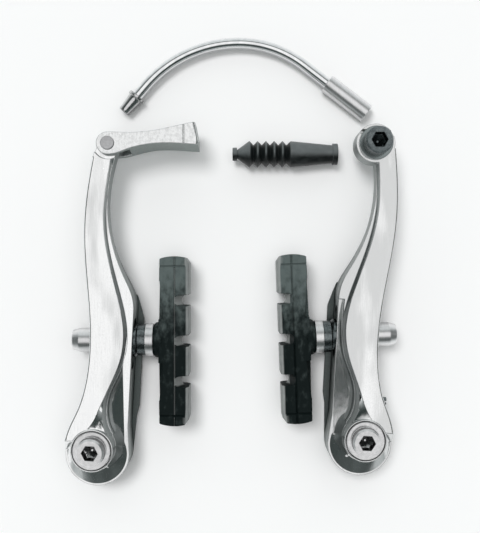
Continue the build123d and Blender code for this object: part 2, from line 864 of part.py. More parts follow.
def build_noodle():
    heading = radians(noodle_heading)
    start = Vector(*noodle_start, noodle_level)
    forward = Vector(cos(heading), sin(heading), 0)
    tip_view = Plane(origin=start, x_dir=forward, z_dir=(0, 0, 1))

    with BuildPart() as tip:
        with BuildSketch(tip_view):
            with BuildLine():
                Polyline(
                    (0, tip_hole), (0, tip_end_radius), (tip_long, tip_base_radius),
                    (tip_long, collar_radius), (tip_long + collar, collar_radius),
                    (tip_long + collar, pipe_radius), (tip_long + collar - tip_socket, pipe_radius),
                    (tip_long + collar - tip_socket, tip_hole),
                    close=True,
                )
            make_face()
        revolve(axis=axis_of(tip_view))
    save(tip.part, "noodle_tip")

    pipe_start = start + forward * (tip_long + collar - tip_socket)
    straight_end = start + forward * (tip_long + collar + pipe_straight)
    with BuildLine() as route:
        Line(pipe_start, straight_end)
        first = JernArc(straight_end, forward, first_bend, -noodle_heading)
        second = JernArc(first @ 1, first % 1, second_bend, -second_turn)
        Line(second @ 1, (second @ 1) + (second % 1) * (pipe_run + ferrule_socket))
    mouth = route.line @ 1
    out = second % 1
    section = Plane(origin=pipe_start, z_dir=forward)

    with BuildPart() as pipe:
        with BuildSketch(section):
            Circle(pipe_radius)
            Circle(pipe_bore, mode=Mode.SUBTRACT)
        sweep(path=route.line)
    save(pipe.part, "noodle_pipe")

    with BuildPart() as liner:
        with BuildSketch(section):
            Circle(pipe_bore - liner_gap)
            Circle(liner_bore, mode=Mode.SUBTRACT)
        sweep(path=route.line)
    save(liner.part, "noodle_liner")

    ferrule_view = Plane(origin=mouth - out * ferrule_socket, x_dir=out, z_dir=(0, 0, 1))
    with BuildPart() as ferrule:
        with BuildSketch(ferrule_view):
            with BuildLine():
                Polyline(
                    (0, pipe_radius), (0, ferrule_radius), (ferrule_long, ferrule_radius),
                    (ferrule_long, housing_bore), (ferrule_socket + ferrule_stop, housing_bore),
                    (ferrule_socket + ferrule_stop, pipe_bore),
                    (ferrule_socket, pipe_bore), (ferrule_socket, pipe_radius), close=True,
                )
            make_face()
        revolve(axis=axis_of(ferrule_view))
    save(ferrule.part, "noodle_ferrule")


def build_boot():
    frame = Plane(origin=(*boot_start, boot_radius), x_dir=(1, 0, 0), z_dir=(0, 0, 1))
    outer = [(0, boot_lip_radius), (boot_lip, boot_lip_radius), (boot_lip, boot_neck_radius)]
    for step in range(crest_count):
        crest = boot_cone_end + step * crest_pitch
        outer += [(crest, boot_radius), (crest + crest_pitch / 2, valley_radius)]
    shoulder = boot_cone_end + crest_count * crest_pitch
    flange_start = boot_long - boot_flange
    outer += [
        (shoulder, boot_shoulder_radius), (flange_start, boot_sleeve_end_radius),
        (flange_start, boot_flange_radius), (boot_long, boot_flange_radius),
    ]
    inner = [
        (boot_long, boot_mouth_bore), (boot_long - boot_mouth_deep, boot_mouth_bore),
        (boot_long - boot_mouth_deep, boot_bellows_bore), (boot_cone_end, boot_bellows_bore),
        (boot_lip, boot_tip_bore), (0, boot_tip_bore),
    ]
    with BuildPart() as boot:
        with BuildSketch(frame):
            with BuildLine():
                Polyline(*outer, *inner, close=True)
            make_face()
        revolve(axis=axis_of(frame))
    save(boot.part, "cable_boot")


for side in sides:
    build_arm(side)
    build_bush(side)
    build_fixing_bolt(side)
    build_return_spring(side)
    build_spring_sleeve(side)
    build_tension_screw(side)
    build_washers(side)
    build_shoe(side)
build_link()
build_clamp()
build_noodle()
build_boot()
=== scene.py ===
import bmesh
import bpy
import json
import math
from mathutils import Matrix, Vector, geometry
from mathutils.kdtree import KDTree


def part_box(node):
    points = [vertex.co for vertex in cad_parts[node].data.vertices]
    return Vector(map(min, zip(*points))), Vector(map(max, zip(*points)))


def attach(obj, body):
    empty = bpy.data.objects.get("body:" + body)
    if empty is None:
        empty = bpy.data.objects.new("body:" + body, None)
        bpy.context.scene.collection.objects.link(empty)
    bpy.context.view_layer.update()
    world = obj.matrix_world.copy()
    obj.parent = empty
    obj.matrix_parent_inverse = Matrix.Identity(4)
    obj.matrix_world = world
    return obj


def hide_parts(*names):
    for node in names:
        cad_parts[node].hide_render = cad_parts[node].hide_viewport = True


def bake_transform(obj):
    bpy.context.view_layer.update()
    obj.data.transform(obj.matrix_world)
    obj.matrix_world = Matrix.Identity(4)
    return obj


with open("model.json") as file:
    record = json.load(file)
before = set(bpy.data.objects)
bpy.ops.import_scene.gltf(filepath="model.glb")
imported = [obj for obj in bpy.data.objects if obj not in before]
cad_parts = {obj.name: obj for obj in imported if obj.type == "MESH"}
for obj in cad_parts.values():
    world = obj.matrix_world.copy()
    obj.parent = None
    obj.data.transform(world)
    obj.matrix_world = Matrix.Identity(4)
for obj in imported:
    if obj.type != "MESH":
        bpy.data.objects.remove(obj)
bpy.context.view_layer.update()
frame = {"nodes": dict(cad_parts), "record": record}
scene = bpy.context.scene
scene.view_settings.view_transform = "Standard"
mm = 0.001
print("frame loaded with", len(frame["nodes"]), "nodes")

slotOf = {row["node"]: row["material_slot"] for row in frame["record"]["subparts"]}
bodyOf = {node: body for body, nodes in frame["record"]["behaviour"]["bodies"].items() for node in nodes}


class Wire:
    # one socket of a node tree; sums and products of wires add Math nodes
    def __init__(self, tree, socket=None):
        self.tree = tree
        self.socket = socket

    def node(self, kind, settings=None, inputs=None, output=0):
        made = self.tree.nodes.new(kind)
        for name, value in (settings or {}).items():
            setattr(made, name, value)
        for name, value in (inputs or {}).items():
            if isinstance(value, Wire):
                self.tree.links.new(value.socket, made.inputs[name])
            else:
                made.inputs[name].default_value = value
        return Wire(self.tree, made.outputs[output])

    def combine(self, operation, first, second):
        return self.node("ShaderNodeMath", {"operation": operation}, {0: first, 1: second})

    def __add__(self, other):
        return self.combine("ADD", self, other)

    __radd__ = __add__

    def __sub__(self, other):
        return self.combine("SUBTRACT", self, other)

    def __rsub__(self, other):
        return self.combine("SUBTRACT", other, self)

    def __mul__(self, other):
        return self.combine("MULTIPLY", self, other)

    __rmul__ = __mul__

    def __truediv__(self, other):
        return self.combine("DIVIDE", self, other)

    def __rtruediv__(self, other):
        return self.combine("DIVIDE", other, self)

    def __abs__(self):
        return self.node("ShaderNodeMath", {"operation": "ABSOLUTE"}, {0: self})

    def step(self, low, high):
        ends = {"Value": self, "From Min": low, "From Max": high}
        return self.node("ShaderNodeMapRange", {"interpolation_type": "SMOOTHSTEP"}, ends)

    def between(self, first, second):
        return self.node("ShaderNodeMix", {"data_type": "RGBA"}, {0: self, 6: first, 7: second}, 2)


def grey(value):
    return (value, value, value, 1.0)


def colour(red, green, blue):
    return (red, green, blue, 1.0)


def span(ends):
    # a pair of places in millimetres, in metres
    return [end * mm for end in ends]


def startMaterial(name):
    material = bpy.data.materials.new(name)
    material.use_nodes = True
    tree = material.node_tree
    shader = next(node for node in tree.nodes if node.type == "BSDF_PRINCIPLED")
    return material, Wire(tree), shader


def setShader(wire, shader, values):
    for name, value in values.items():
        if isinstance(value, Wire):
            wire.tree.links.new(value.socket, shader.inputs[name])
        else:
            shader.inputs[name].default_value = value


def grain(wire, size, turn=0.0, detail=3.0, roughness=0.55):
    # noise whose features are size = (x, y, z) millimetres large, turned about Z
    place = wire.node("ShaderNodeTexCoord", output="Object")
    scale = [1 / (part * mm) for part in size]
    spots = {"Vector": place, "Rotation": (0, 0, math.radians(turn)), "Scale": scale}
    moved = wire.node("ShaderNodeMapping", {"vector_type": "POINT"}, spots)
    return wire.node("ShaderNodeTexNoise", None,
                     {"Vector": moved, "Scale": 1.0, "Detail": detail, "Roughness": roughness})


def facing(wire, axis="Z"):
    # one part of the surface normal in the piece's own frame
    normal = wire.node("ShaderNodeTexCoord", output="Normal")
    return wire.node("ShaderNodeSeparateXYZ", None, {0: normal}, axis)


def spot(wire, axis):
    # one coordinate of the place on the surface, in metres
    place = wire.node("ShaderNodeTexCoord", output="Object")
    return wire.node("ShaderNodeSeparateXYZ", None, {0: place}, axis)


def sideOf(wire):
    # -1 on the left half of the set and 1 on the right half
    return wire.node("ShaderNodeMath", {"operation": "SIGN"}, {0: spot(wire, "X")})


def relief(wire, height, strength, distance, under=None):
    # bumps of the given depth in millimetres, laid over other bumps
    inputs = {"Strength": strength, "Distance": distance * mm, "Height": height}
    if under:
        inputs["Normal"] = under
    return wire.node("ShaderNodeBump", None, inputs)


# Polished arm alloy: bright brushed front with a little random haze and painted shade on the right arm,
# painted shade on the inner walls, painted light on the outer walls, and painted shade on the low back
armFinish = {
    "bright": (0.93, 0.935, 0.935), "brushed": (0.80, 0.81, 0.81), "hazeAndShade": (0.58, 0.59, 0.59),
    # wall and low back tones are painted shade, lighter on outward faces as painted light
    "paintedWallShadeLight": (0.36, 0.39, 0.385), "paintedWallShadeDark": (0.17, 0.19, 0.187), "paintedOuterWallLight": (0.60, 0.61, 0.61),
    "paintedLowShadeLight": (0.16, 0.185, 0.18), "paintedLowShadeDark": (0.06, 0.075, 0.072),
    "paintedLowOuterLight": (0.46, 0.475, 0.472), "paintedLowShadeBelow": (7.0, 8.6), "metal": 0.985,
    "gloss": 0.12, "satin": 0.42, "glossSpread": 0.12, "lean": 3.1,
    "streakSize": (0.22, 7.0, 0.22), "hazeSize": (9.0, 30.0, 9.0), "speckleSize": (0.35, 0.35, 0.35),
    "waveSize": (5.0, 8.0, 5.0), "waveDeep": 0.05, "polishMix": (0.7, 0.3), "polish": (0.10, 0.02),
    "frontFrom": (0.22, 0.42), "outerFrom": (-0.1, 0.4), "toneMix": (0.6, 0.5), "toneFrom": (0.25, 0.6),
    # the right arm's extra haze is painted shade
    "rightPaintedShade": 0.21, "rightPaintedShadeFrom": (0.0, 10.0), "hazeStreak": 0.25, "hazeFrom": (0.50, 0.72),
    "hazeMost": 0.75,
}


def polishedAlloy():
    material, wire, shader = startMaterial("polished arm alloy")
    streak = grain(wire, armFinish["streakSize"], armFinish["lean"], detail=4.0)
    cloud = grain(wire, armFinish["hazeSize"], armFinish["lean"], detail=2.0, roughness=0.5)
    speckle = grain(wire, armFinish["speckleSize"])
    waves = grain(wire, armFinish["waveSize"], armFinish["lean"], detail=2.0)
    # below this height the low back gets painted shade and satin roughness
    upper = spot(wire, "Z").step(*span(armFinish["paintedLowShadeBelow"]))
    front = facing(wire).step(*armFinish["frontFrom"]) * upper
    byStreak, bySpeckle = armFinish["toneMix"]
    tone = (streak - 0.5) * byStreak + (speckle - 0.5) * bySpeckle + 0.5
    brushed = tone.step(*armFinish["toneFrom"])
    brushed = brushed.between(colour(*armFinish["brushed"]), colour(*armFinish["bright"]))
    # painted shade: the right arm's front turns greyer than the left's, on top of the random haze
    rightShade = spot(wire, "X").step(*span(armFinish["rightPaintedShadeFrom"])) * armFinish["rightPaintedShade"]
    hazeAndShadeAmount = cloud - 0.5 + (streak - 0.5) * armFinish["hazeStreak"] + 0.5 + rightShade
    hazeAndShadeAmount = hazeAndShadeAmount.step(*armFinish["hazeFrom"]) * armFinish["hazeMost"]
    bright = hazeAndShadeAmount.between(brushed, colour(*armFinish["hazeAndShade"]))
    # outward walls get painted light, inward walls and the low back get painted shade
    outer = (facing(wire, "X") * sideOf(wire)).step(*armFinish["outerFrom"])
    paintedWallShade = speckle.between(colour(*armFinish["paintedWallShadeDark"]), colour(*armFinish["paintedWallShadeLight"]))
    paintedWallShade = outer.between(paintedWallShade, colour(*armFinish["paintedOuterWallLight"]))
    paintedLowShade = speckle.between(colour(*armFinish["paintedLowShadeDark"]), colour(*armFinish["paintedLowShadeLight"]))
    paintedLowShade = outer.between(paintedLowShade, colour(*armFinish["paintedLowOuterLight"]))
    gloss = front * (armFinish["gloss"] - armFinish["satin"]) + armFinish["satin"]
    byStreak, bySpeckle = armFinish["polishMix"]
    polish = relief(wire, streak * byStreak + speckle * bySpeckle, *armFinish["polish"])
    setShader(wire, shader, {
        "Base Color": front.between(upper.between(paintedLowShade, paintedWallShade), bright),
        "Metallic": armFinish["metal"],
        "Roughness": gloss + (streak - 0.5) * armFinish["glossSpread"],
        "Normal": relief(wire, waves, 1.0, armFinish["waveDeep"], polish),
    })
    return material


# Cable link alloy: tumbled rather than brushed, a little greyer than the arms, with painted shade on its
# walls
linkFinish = {
    "bright": (0.86, 0.87, 0.87), "tumbled": (0.71, 0.72, 0.72), "paintedWallShadeLight": (0.29, 0.33, 0.32),
    "paintedWallShadeDark": (0.15, 0.18, 0.172), "gloss": 0.20, "satin": 0.40, "glossSpread": 0.14,
    "streakSize": (0.5, 5.0, 0.5), "tumbleSize": (1.1, 1.1, 1.1), "tumble": (0.10, 0.03),
    "frontFrom": (0.25, 0.6), "toneMix": (0.6, 0.4), "toneFrom": (0.35, 0.6),
}


def linkAlloy():
    material, wire, shader = startMaterial("cable link alloy")
    streak = grain(wire, linkFinish["streakSize"], detail=4.0)
    tumble = grain(wire, linkFinish["tumbleSize"], detail=4.0)
    front = facing(wire).step(*linkFinish["frontFrom"])
    byTumble, byStreak = linkFinish["toneMix"]
    bright = (tumble * byTumble + streak * byStreak).step(*linkFinish["toneFrom"])
    bright = bright.between(colour(*linkFinish["tumbled"]), colour(*linkFinish["bright"]))
    # painted shade: faces not turned up take the dark wall tones
    paintedWallShade = tumble.between(colour(*linkFinish["paintedWallShadeDark"]), colour(*linkFinish["paintedWallShadeLight"]))
    gloss = front * (linkFinish["gloss"] - linkFinish["satin"])
    setShader(wire, shader, {
        "Base Color": front.between(paintedWallShade, bright),
        "Metallic": 1.0,
        "Roughness": gloss + (streak - 0.5) * linkFinish["glossSpread"] + linkFinish["satin"],
        "Normal": relief(wire, tumble, *linkFinish["tumble"]),
    })
    return material


# Plain metals: bright and dark tone, roughness, grain in millimetres, its depth, and how light the painted
# shade on the walls is.
# Right of and above the corner that plated steel names lies the cable clamp's washer, blackened like its bolt
plainMetals = {
    "satin_alloy": ((0.88, 0.88, 0.885), (0.76, 0.76, 0.765), 0.32, (0.25, 3.0, 3.0), 0.10, 0.75),
    "plated_steel": ((0.71, 0.71, 0.715), (0.56, 0.56, 0.565), 0.17, (1.2, 1.2, 1.2), 0.05, 0.20,
                     (30.0, 20.0, (0.22, 0.25, 0.25))),
    "noodle_chrome": ((0.90, 0.905, 0.91), (0.80, 0.81, 0.82), 0.10, (2.0, 2.0, 2.0), 0.03, 0.60),
    "plain_steel": ((0.64, 0.64, 0.65), (0.50, 0.50, 0.51), 0.36, (0.8, 0.8, 0.8), 0.12, 0.70),
    "dark_steel": ((0.19, 0.215, 0.22), (0.09, 0.105, 0.11), 0.26, (0.7, 0.7, 0.7), 0.08, 0.70),
    "spring_steel": ((0.50, 0.50, 0.51), (0.38, 0.38, 0.39), 0.34, (0.4, 5.0, 0.4), 0.08, 0.90),
}
metalForm = {
    "cloudSize": (4.0, 4.0, 4.0), "toneMix": (0.6, 0.4), "toneFrom": (0.35, 0.65), "frontFrom": (0.2, 0.6),
    "glossSpread": 0.16, "grainDeep": 0.02, "fade": 1.0,
}


def metalFinish(name, tone, dark, gloss, size, bumpStrength, paintedWallFactor, blackened=None):
    material, wire, shader = startMaterial(name)
    fine = grain(wire, size, detail=4.0)
    cloud = grain(wire, metalForm["cloudSize"], detail=2.0)
    byGrain, byCloud = metalForm["toneMix"]
    mix = (fine * byGrain + cloud * byCloud).step(*metalForm["toneFrom"])
    # painted shade: side walls take the dark tone dimmed by this factor
    paintedWallShade = colour(*[part * paintedWallFactor for part in dark])
    front = facing(wire).step(*metalForm["frontFrom"])
    shade = front.between(paintedWallShade, mix.between(colour(*dark), colour(*tone)))
    if blackened:
        x, y, black = blackened
        beyond = spot(wire, "X").step(*span((x, x + metalForm["fade"])))
        beyond = beyond * spot(wire, "Y").step(*span((y, y + metalForm["fade"])))
        shade = beyond.between(shade, colour(*black))
    setShader(wire, shader, {
        "Base Color": shade,
        "Metallic": 1.0,
        "Roughness": (fine - 0.5) * metalForm["glossSpread"] + gloss,
        "Normal": relief(wire, fine, bumpStrength, metalForm["grainDeep"]),
    })
    return material


# Brake pads: green-black rubber, paler bloom towards the upper end, and a ground braking face with painted
# reflection
padFinish = {
    "deep": (0.005, 0.009, 0.009), "bloomAndLight": (0.105, 0.130, 0.127), "groundAndSheen": (0.36, 0.375, 0.37),
    "rough": 0.55, "roughSpread": 0.25, "sheen": 0.10, "mottleSize": (2.2, 3.4, 2.2),
    "pebbleSize": (0.25, 0.25, 0.25), "reliefMix": (0.4, 0.6), "relief": (0.25, 0.08),
    "bloomFrom": (-38.0, 0.0), "bloomMix": (1.2, 0.7, 0.10), "skinFrom": (0.1, 0.9),
    "groundTo": (20.9, 21.1), "groundFacing": (0.35, 0.75), "groundMix": (0.6, 0.8),
}


def padRubber():
    material, wire, shader = startMaterial("brake pad rubber")
    mottle = grain(wire, padFinish["mottleSize"], detail=5.0, roughness=0.6)
    pebble = grain(wire, padFinish["pebbleSize"])
    upper = spot(wire, "Y").step(*span(padFinish["bloomFrom"]))
    byMottle, byHeight, least = padFinish["bloomMix"]
    bloomAndLight = (mottle - 0.5) * byMottle + upper * byHeight + least
    skin = bloomAndLight.step(*padFinish["skinFrom"]).between(colour(*padFinish["deep"]), colour(*padFinish["bloomAndLight"]))
    byMottle, most = padFinish["groundMix"]
    # painted reflection: the inward braking face is lighter grey, besides being ground
    groundAndSheen = (facing(wire, "X") * sideOf(wire) * -1.0).step(*padFinish["groundFacing"])
    groundAndSheen = groundAndSheen * ((mottle - 0.5) * byMottle + most)
    groundAndSheen = groundAndSheen * (1 - abs(spot(wire, "X")).step(*span(padFinish["groundTo"])))
    byPebble, byMottle = padFinish["reliefMix"]
    setShader(wire, shader, {
        "Base Color": groundAndSheen.between(skin, colour(*padFinish["groundAndSheen"])),
        "Roughness": (mottle - 0.5) * padFinish["roughSpread"] + padFinish["rough"],
        "Specular IOR Level": padFinish["sheen"],
        "Normal": relief(wire, pebble * byPebble + mottle * byMottle, *padFinish["relief"]),
    })
    return material


# Cable boot: grey-black rubber, painted light on its upper side, paler along the crests, painted shade in the
# folds
bootFinish = {
    # the boot's pale tone is painted light on its upper side, with a little random mottle
    "deep": (0.003, 0.005, 0.005), "bloomAndLight": (0.118, 0.132, 0.134), "rough": 0.42, "roughSpread": 0.18,
    "sheen": 0.35, "mottleSize": (3.0, 1.6, 1.6), "pebbleSize": (0.3, 0.3, 0.3), "relief": (0.12, 0.04),
    "axis": (38.9, 4.95), "crestClearOfShade": (4.40, 4.80), "foldShadeStart": (6.3, 6.8), "foldShadeEnd": (21.4, 21.9),
    "litFrom": (-0.45, 0.15), "mottleFrom": (0.35, 0.7), "litMix": (0.85, 0.15),
}


def bootRubber():
    material, wire, shader = startMaterial("cable boot rubber")
    mottle = grain(wire, bootFinish["mottleSize"], detail=4.0)
    pebble = grain(wire, bootFinish["pebbleSize"])
    across, up = span(bootFinish["axis"])
    beside = spot(wire, "Y") - across
    above = spot(wire, "Z") - up
    radius = wire.node("ShaderNodeMath", {"operation": "SQRT"}, {0: beside * beside + above * above})
    # painted shade: between the fins the rubber goes black, the crests stay clear
    foldShadeSpan = spot(wire, "X").step(*span(bootFinish["foldShadeStart"]))
    foldShadeSpan = foldShadeSpan * (1 - spot(wire, "X").step(*span(bootFinish["foldShadeEnd"])))
    clear = 1 - foldShadeSpan * (1 - radius.step(*span(bootFinish["crestClearOfShade"])))
    byFacing, byMottle = bootFinish["litMix"]
    # painted light: faces turned towards +Y get the pale tone
    lit = facing(wire, "Y").step(*bootFinish["litFrom"]) * byFacing
    lit = lit + mottle.step(*bootFinish["mottleFrom"]) * byMottle
    setShader(wire, shader, {
        "Base Color": (lit * clear).between(colour(*bootFinish["deep"]), colour(*bootFinish["bloomAndLight"])),
        "Roughness": (mottle - 0.5) * bootFinish["roughSpread"] + bootFinish["rough"],
        "Specular IOR Level": bootFinish["sheen"],
        "Normal": relief(wire, pebble, *bootFinish["relief"]),
    })
    return material


# Plastics: light and dark tone and roughness
plastics = {
    "sleeve_plastic": ("spring sleeve plastic", (0.05, 0.05, 0.052), (0.03, 0.03, 0.032), 0.5),
    "liner_plastic": ("noodle liner plastic", (0.80, 0.80, 0.77), (0.70, 0.70, 0.68), 0.4),
}
plasticForm = {
    "grainSize": (0.4, 0.4, 0.4), "toneFrom": (0.3, 0.7), "roughSpread": 0.12, "relief": (0.08, 0.02),
}


def plastic(name, tone, dark, rough):
    material, wire, shader = startMaterial(name)
    fine = grain(wire, plasticForm["grainSize"])
    setShader(wire, shader, {
        "Base Color": fine.step(*plasticForm["toneFrom"]).between(colour(*dark), colour(*tone)),
        "Roughness": (fine - 0.5) * plasticForm["roughSpread"] + rough,
        "Normal": relief(wire, fine, *plasticForm["relief"]),
    })
    return material


finishes = {slot: metalFinish(slot.replace("_", " "), *values) for slot, values in plainMetals.items()}
finishes["polished_alloy"] = polishedAlloy()
finishes["link_alloy"] = linkAlloy()
finishes["pad_rubber"] = padRubber()
finishes["boot_rubber"] = bootRubber()
finishes.update({slot: plastic(*values) for slot, values in plastics.items()})
print("finishes made:", len(finishes))


def adopt(piece, node, rides=True):
    # the piece stands for a node, takes its finish and, unless it is blended, moves with its body
    piece.data.materials.clear()
    piece.data.materials.append(finishes[slotOf[node]])
    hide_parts(node)
    if rides:
        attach(piece, bodyOf[node])
    return piece


def newPiece(name, bm, sharpAngle=40.0):
    # without an angle the edges keep the sharpness they already have
    mesh = bpy.data.meshes.new(name)
    bm.to_mesh(mesh)
    bm.free()
    for polygon in mesh.polygons:
        polygon.use_smooth = True
    if sharpAngle:
        mesh.set_sharp_from_angle(angle=math.radians(sharpAngle))
    piece = bpy.data.objects.new(name, mesh)
    scene.collection.objects.link(piece)
    return piece


# Machined and cast pieces: the node's own shape with its edges broken
edgeWidths = {
    "arm": 0.20, "cable_link": 0.25, "link_rivet": 0.25, "clamp_washer": 0.20, "clamp_bolt": 0.20,
    "noodle_tip": 0.20, "noodle_ferrule": 0.25, "fixing_bolt": 0.20, "tension_screw": 0.12,
    "dome_washer": 0.12, "cup_washer": 0.12, "spacer_washer": 0.20, "shoe_stud": 0.12, "brake_pad": 0.30,
    "shoe_nut": 0.22, "pivot_bush": 0.12,
}
edgeForm = {
    "segments": 2, "broken": 50.0, "crease": 7.0, "flat": 0.1, "weld": 0.002, "sliver": 0.03,
    "markEvery": 0.1, "reach": 1.6, "folded": 1.01, "rounds": 6, "tiny": 0.001, "same": 1e-4,
}


def creaseOf(edge, truth):
    # largest angle between the surface normals on the two sides of an edge
    first, second = edge.link_loops
    near = first[truth].angle(second.link_loop_next[truth], 0.0)
    far = first.link_loop_next[truth].angle(second[truth], 0.0)
    return math.degrees(max(near, far))


def marksAlong(edges):
    # points along the edges, close enough to tell how far a corner lies from them
    spots = []
    for edge in edges:
        first, second = (vert.co for vert in edge.verts)
        count = max(1, round(edge.calc_length() / (edgeForm["markEvery"] * mm)))
        spots += [first.lerp(second, step / count) for step in range(count + 1)]
    marks = KDTree(len(spots))
    for index, place in enumerate(spots):
        marks.insert(place, index)
    marks.balance()
    return marks


def foldedFaces(bm):
    # faces whose triangles cover more than the face does, because the outline crosses itself
    covered = {}
    for corners in bm.calc_loop_triangles():
        size = geometry.area_tri(*[loop.vert.co for loop in corners])
        covered[corners[0].face] = covered.get(corners[0].face, 0.0) + size
    return [face for face, size in covered.items()
            if len(face.verts) > 4 and size > edgeForm["folded"] * face.calc_area()]


def runLength(verts):
    return sum((second.co - first.co).length for first, second in zip(verts, verts[1:]))


def untangle(face):
    # the small loop beyond each crossing of the outline shrinks to the crossing
    down = face.normal.to_track_quat("Z", "Y").inverted()
    up = down.inverted()
    verts = list(face.verts)
    count = len(verts)
    for first in range(count):
        for second in range(first + 2, count - (first == 0)):
            flat = [down @ verts[index % count].co for index in (first, first + 1, second, second + 1)]
            meet = geometry.intersect_line_line_2d(*[point.xy for point in flat])
            inner = verts[first + 1:second + 1]
            outer = verts[second + 1:] + verts[:first + 1]
            loop = min(inner, outer, key=runLength)
            if meet and any((vert.co - loop[0].co).length > edgeForm["same"] * mm for vert in loop):
                crossing = up @ Vector((meet.x, meet.y, flat[0].z))
                for vert in loop:
                    vert.co = crossing


def brokenEdges(node, width):
    # sharp edges are found by the surface's own normals, then bevelled
    mesh = frame["nodes"][node].data
    bm = bmesh.new()
    bm.from_mesh(mesh)
    truth = bm.loops.layers.float_vector.new("surface normal")
    corners = [loop for face in bm.faces for loop in face.loops]
    for loop, normal in zip(corners, mesh.corner_normals):
        loop[truth] = normal.vector
    bmesh.ops.remove_doubles(bm, verts=bm.verts, dist=edgeForm["weld"] * mm)
    bmesh.ops.dissolve_degenerate(bm, dist=edgeForm["sliver"] * mm, edges=bm.edges)
    for edge in bm.edges:
        edge.smooth = not edge.is_manifold or creaseOf(edge, truth) < edgeForm["crease"]
    bmesh.ops.dissolve_limit(bm, angle_limit=math.radians(edgeForm["flat"]), verts=bm.verts, edges=bm.edges,
                             delimit={"SHARP"})
    limit = math.radians(edgeForm["broken"])
    hard = [edge for edge in bm.edges if not edge.smooth and edge.calc_face_angle(0.0) > limit]
    marks = marksAlong(hard)
    made = bmesh.ops.bevel(bm, geom=hard, offset=width * mm, offset_type="OFFSET",
                           segments=edgeForm["segments"], profile=0.5, affect="EDGES", material=-1)
    for vert in made["verts"]:
        # a corner that two nearly parallel edges threw far away comes back beside its edge
        place, index, distance = marks.find(vert.co)
        if distance > edgeForm["reach"] * width * mm:
            vert.co = place + (vert.co - place) * (width * mm / distance)
    for face in made["faces"]:
        for edge in face.edges:
            edge.smooth = True
    for step in range(edgeForm["rounds"]):
        for face in foldedFaces(bm):
            untangle(face)
        bm.normal_update()
    bmesh.ops.dissolve_degenerate(bm, dist=edgeForm["tiny"] * mm, edges=bm.edges)
    piece = newPiece(node + "_finished", bm, None)
    weighted = piece.modifiers.new("even faces", "WEIGHTED_NORMAL")
    weighted.keep_sharp = True
    return adopt(piece, node)


for node in frame["nodes"]:
    for ending, width in edgeWidths.items():
        if node.endswith(ending):
            brokenEdges(node, width)
print("edges broken on the hard pieces")


# Cable boot: lip, cone, five bellows fins, tapered sleeve and end bead, spun about its axis
boot = {
    "length": 39.2, "lip": (1.7, 2.45), "neck": 1.6, "coneEnd": 6.3, "crests": 5, "pitch": 3.08,
    "crestRadius": 4.95, "valleyRadius": 3.35, "shoulder": 4.85, "sleeveEnd": 3.35, "bead": (1.9, 3.95),
    "mouth": (2.6, 16.0), "bellowsBore": 2.3, "tipBore": 0.9, "steps": 72, "crestRound": 0.32,
    "roundSegments": 3, "roundAbove": 20.0, "sharpAbove": 60.0, "weld": 0.001,
}


def cableBoot():
    low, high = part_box("cable_boot")
    centre = Vector((low.x, (low.y + high.y) / 2, (low.z + high.z) / 2))
    lipLong, lipRadius = boot["lip"]
    beadLong, beadRadius = boot["bead"]
    mouthRadius, mouthDeep = boot["mouth"]
    outer = [(0, lipRadius), (lipLong, lipRadius), (lipLong, boot["neck"])]
    for step in range(boot["crests"]):
        crest = boot["coneEnd"] + step * boot["pitch"]
        outer += [(crest, boot["crestRadius"]), (crest + boot["pitch"] / 2, boot["valleyRadius"])]
    shoulder = boot["coneEnd"] + boot["crests"] * boot["pitch"]
    beadStart = boot["length"] - beadLong
    outer += [(shoulder, boot["shoulder"]), (beadStart, boot["sleeveEnd"]), (beadStart, beadRadius),
              (boot["length"], beadRadius)]
    inner = [(boot["length"], mouthRadius), (boot["length"] - mouthDeep, mouthRadius),
             (boot["length"] - mouthDeep, boot["bellowsBore"]), (boot["coneEnd"], boot["bellowsBore"]),
             (lipLong, boot["tipBore"]), (0, boot["tipBore"])]
    bm = bmesh.new()
    ring = [bm.verts.new(centre + Vector((x, 0, radius)) * mm) for x, radius in outer + inner]
    edges = [bm.edges.new(pair) for pair in zip(ring, ring[1:] + ring[:1])]
    bmesh.ops.spin(bm, geom=ring + edges, cent=centre, axis=(1, 0, 0), angle=2 * math.pi, steps=boot["steps"],
                   use_merge=True)
    bmesh.ops.remove_doubles(bm, verts=bm.verts, dist=boot["weld"] * mm)
    bmesh.ops.recalc_face_normals(bm, faces=bm.faces)
    rings = [edge for edge in bm.edges if edge.calc_face_angle(0) > math.radians(boot["roundAbove"])
             and abs(edge.verts[0].co.x - edge.verts[1].co.x) < boot["weld"] * mm]
    bmesh.ops.bevel(bm, geom=rings, offset=boot["crestRound"] * mm, offset_type="OFFSET",
                    segments=boot["roundSegments"], profile=0.5, affect="EDGES", material=-1,
                    clamp_overlap=True)
    return adopt(newPiece("cable_boot_moulded", bm, boot["sharpAbove"]), "cable_boot")


cableBoot()
print("cable boot spun")


# Noodle pipe: straight end, two bends and a straight run, drawn as one smooth tube
pipe = {
    "start": (-41.0, 55.1, 3.5), "heading": 49.5, "hidden": 4.5, "straight": 8.3, "radius": 2.05,
    "bends": [(46.0, 49.5, 40), (40.0, 37.6, 30)], "run": 17.2, "around": 40, "weld": 0.001,
}


